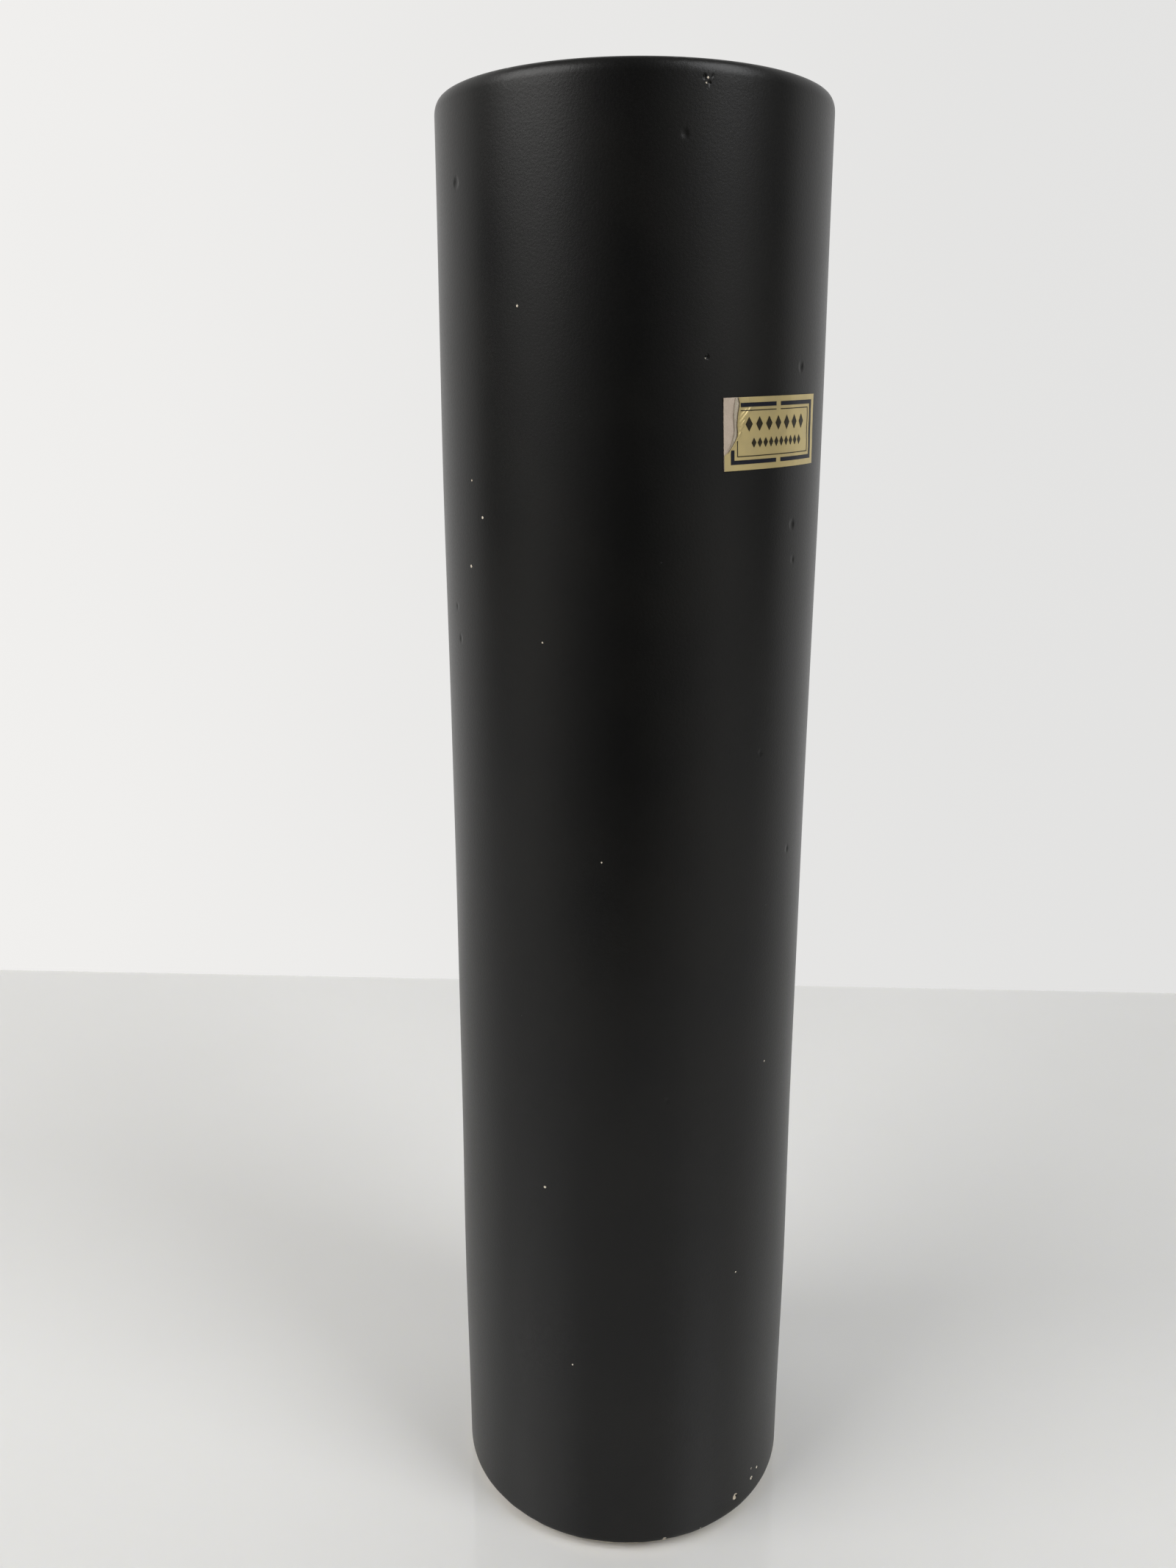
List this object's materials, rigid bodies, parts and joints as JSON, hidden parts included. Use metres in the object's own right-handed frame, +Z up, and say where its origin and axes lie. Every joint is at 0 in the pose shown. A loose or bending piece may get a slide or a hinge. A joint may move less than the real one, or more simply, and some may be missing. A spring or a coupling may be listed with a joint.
{
  "type": "cylinder vase",
  "caption": "Tall straight ceramic cylinder vase with a softly rounded lip, a bare clay foot ring and a torn foil label high on one side.",
  "frame": {"origin": "bottom centre: on the vase's axis, in the plane that its foot ring stands on", "axes": "+Z up along the vase's axis; -Y is the front; the label is on the front right, towards +X"},
  "size_m": [0.075, 0.075, 0.3],
  "materials": {
    "bare_clay": "unglazed fired clay, fine and matte",
    "matte_black_glaze": "satin matte glaze with fine grain and pinholes",
    "black_liner_glaze": "smooth, glossier glaze",
    "backing_paper": "aged matte paper with torn fibres",
    "gold_foil": "satin gold foil, wrinkled near the tear, with dark printed bars"
  },
  "bodies": {
    "root": {"clay_body": "bare_clay", "outer_glaze": "matte_black_glaze", "liner_glaze": "black_liner_glaze", "label_paper": "backing_paper", "label_foil": "gold_foil"}
  },
  "joints": []
}
